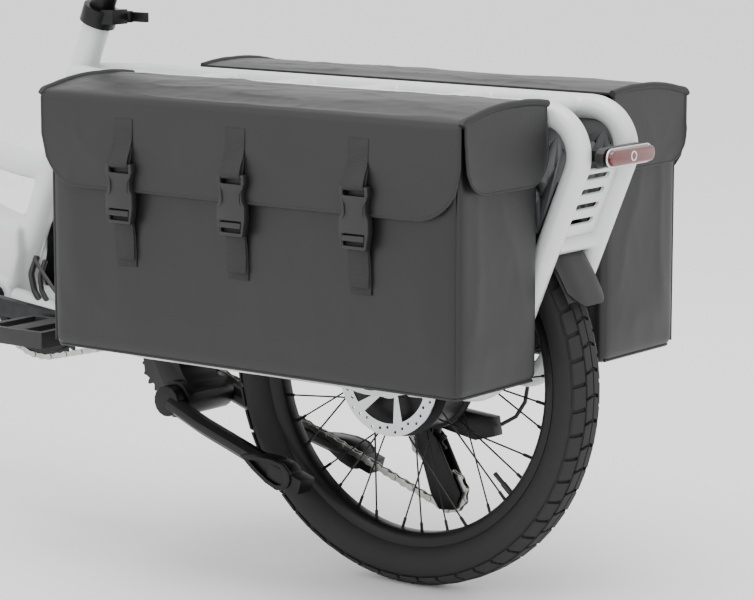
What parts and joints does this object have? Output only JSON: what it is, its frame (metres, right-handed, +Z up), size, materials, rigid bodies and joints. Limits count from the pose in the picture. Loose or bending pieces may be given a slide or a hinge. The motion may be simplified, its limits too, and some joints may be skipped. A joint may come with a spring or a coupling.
{
  "type": "longtail cargo bicycle",
  "caption": "Compact longtail cargo bicycle with a white loop rack over the rear wheel, a lidded charcoal bag on each side, hub motor, folding centre stand and low frame.",
  "frame": {"origin": "on the ground in the centre plane, half way along the bicycle", "axes": "+X to the front of the bicycle, +Y to its left, +Z up"},
  "size_m": [1.847, 0.6548, 0.9977],
  "materials": {
    "white_paint": "gloss white powder coat",
    "black_metal": "black anodised or painted, satin",
    "dark_steel": "dark steel, satin",
    "bright_steel": "bright machined steel",
    "chain_steel": "nickel plated, bright",
    "grey_guard": "mid grey, fine texture",
    "black_plastic": "black, satin",
    "tyre_rubber": "matt black rubber with a block tread",
    "grip_rubber": "matt black rubber",
    "coated_canvas": "charcoal coated tarpaulin, soft sheen",
    "red_lens": "clear red moulded lens",
    "saddle_cover": "black vinyl, fine grain"
  },
  "bodies": {
    "frame": {"head_tube": "white_paint", "top_tube": "white_paint", "down_tube": "white_paint", "seat_tube": "white_paint", "rack_frame": "white_paint", "left_chainstay": "white_paint", "right_chainstay": "white_paint", "left_wheel_guard": "grey_guard", "right_wheel_guard": "grey_guard", "battery_pack": "black_plastic", "rear_axle": "dark_steel", "rear_fender": "black_plastic", "rear_caliper": "black_metal", "tail_light_housing": "black_plastic", "tail_light_lens": "red_lens", "chain": "chain_steel", "derailleur": "black_metal", "kickstand_bracket": "black_metal", "rear_brake_hose": "black_plastic", "shift_housing": "black_plastic", "left_bag": "coated_canvas", "right_bag": "coated_canvas", "seat_clamp": "black_metal"},
    "steering": {"fork": "white_paint", "stem": "black_metal", "handlebar": "black_metal", "display": "black_plastic", "shifter_body": "black_plastic", "left_grip": "grip_rubber", "right_grip": "grip_rubber", "left_lever_clamp": "black_plastic", "right_lever_clamp": "black_plastic", "front_light": "black_plastic", "front_fender": "black_plastic", "front_caliper": "black_metal"},
    "front_wheel": {"front_tyre": "tyre_rubber", "front_rim": "black_metal", "front_rotor": "bright_steel"},
    "rear_wheel": {"rear_tyre": "tyre_rubber", "rear_rim": "black_metal", "hub_motor": "black_metal", "rear_rotor": "bright_steel"},
    "cassette": {"cassette": "dark_steel"},
    "crankset": {"chainring": "dark_steel", "left_crank": "black_metal", "right_crank": "black_metal"},
    "left_pedal": {"left_pedal": "black_plastic"},
    "right_pedal": {"right_pedal": "black_plastic"},
    "guide_pulley": {"guide_pulley": "black_plastic"},
    "tension_pulley": {"tension_pulley": "black_plastic"},
    "idler_sprocket": {"idler_sprocket": "dark_steel"},
    "kickstand": {"kickstand": "black_metal"},
    "quick_release_lever": {"quick_release_lever": "black_metal"},
    "saddle_and_post": {"seatpost": "black_metal", "saddle": "saddle_cover"},
    "left_bag_lid": {"left_bag_lid": "coated_canvas"},
    "right_bag_lid": {"right_bag_lid": "coated_canvas"},
    "left_brake_lever": {"left_brake_lever": "black_metal"},
    "right_brake_lever": {"right_brake_lever": "black_metal"},
    "shift_lever": {"shift_lever": "black_plastic"}
  },
  "joints": [
    {"name": "steering", "type": "hinge", "parent": "frame", "child": "steering", "pos_m": [0.50751, 0, 0.5675], "axis": [-0.342, 0, 0.9397], "range_deg": [-50, 50]},
    {"name": "front_wheel_spin", "type": "hinge", "parent": "steering", "child": "front_wheel", "pos_m": [0.6695, 0, 0.254], "axis": [0, 1, 0], "continuous": true},
    {"name": "rear_wheel_spin", "type": "hinge", "parent": "frame", "child": "rear_wheel", "pos_m": [-0.6205, 0, 0.254], "axis": [0, 1, 0], "continuous": true},
    {"name": "crank_spin", "type": "hinge", "parent": "frame", "child": "crankset", "pos_m": [0.0175, 0, 0.287], "axis": [0, 1, 0], "continuous": true},
    {"name": "left_pedal_spin", "type": "hinge", "parent": "crankset", "child": "left_pedal", "pos_m": [-0.1466, 0.128, 0.26975], "axis": [0, 1, 0], "continuous": true},
    {"name": "right_pedal_spin", "type": "hinge", "parent": "crankset", "child": "right_pedal", "pos_m": [0.1816, -0.128, 0.30425], "axis": [0, 1, 0], "continuous": true},
    {"name": "cassette_spin", "type": "hinge", "parent": "frame", "child": "cassette", "pos_m": [-0.6205, -0.047, 0.254], "axis": [0, 1, 0], "continuous": true},
    {"name": "guide_pulley_spin", "type": "hinge", "parent": "frame", "child": "guide_pulley", "pos_m": [-0.6115, -0.047, 0.162], "axis": [0, 1, 0], "continuous": true},
    {"name": "tension_pulley_spin", "type": "hinge", "parent": "frame", "child": "tension_pulley", "pos_m": [-0.6415, -0.047, 0.104], "axis": [0, 1, 0], "continuous": true},
    {"name": "idler_spin", "type": "hinge", "parent": "frame", "child": "idler_sprocket", "pos_m": [-0.1955, -0.047, 0.205], "axis": [0, 1, 0], "continuous": true},
    {"name": "kickstand_fold", "type": "hinge", "parent": "frame", "child": "kickstand", "pos_m": [-0.2885, 0, 0.187], "axis": [0, -1, 0], "range_deg": [0, 103]},
    {"name": "left_brake_lever_pull", "type": "hinge", "parent": "steering", "child": "left_brake_lever", "pos_m": [0.3923, 0.21996, 0.97687], "axis": [0, 0, 1], "range_deg": [0, 14], "stiffness_Nm_per_rad": 1.2, "springref_deg": -8.59},
    {"name": "right_brake_lever_pull", "type": "hinge", "parent": "steering", "child": "right_brake_lever", "pos_m": [0.3923, -0.21996, 0.97687], "axis": [0, 0, -1], "range_deg": [0, 14], "stiffness_Nm_per_rad": 1.2, "springref_deg": -8.59},
    {"name": "shift_lever_push", "type": "hinge", "parent": "steering", "child": "shift_lever", "pos_m": [0.37638, -0.16224, 0.94879], "axis": [0, 0, -1], "range_deg": [0, 18], "stiffness_Nm_per_rad": 0.4, "springref_deg": -5.73},
    {"name": "quick_release_swing", "type": "hinge", "parent": "frame", "child": "quick_release_lever", "pos_m": [-0.16092, -0.022, 0.649], "axis": [0, 0, 1], "range_deg": [0, 120]},
    {"name": "seatpost_slide", "type": "slide", "parent": "frame", "child": "saddle_and_post", "axis": [-0.3841, 0, 0.9233], "range_m": [-0.08, 0.04]},
    {"name": "left_lid_lift", "type": "hinge", "parent": "frame", "child": "left_bag_lid", "pos_m": [-0.548, 0.0665, 0.594], "axis": [1, 0, 0], "range_deg": [0, 100]},
    {"name": "right_lid_lift", "type": "hinge", "parent": "frame", "child": "right_bag_lid", "pos_m": [-0.548, -0.0665, 0.594], "axis": [-1, 0, 0], "range_deg": [0, 100]}
  ],
  "couplings": [
    {"joint": "cassette_spin", "follows": "crank_spin", "ratio": 2.5556},
    {"joint": "tension_pulley_spin", "follows": "crank_spin", "ratio": 4.1818},
    {"joint": "guide_pulley_spin", "follows": "crank_spin", "ratio": -4.1818},
    {"joint": "idler_spin", "follows": "crank_spin", "ratio": -2.7059}
  ]
}
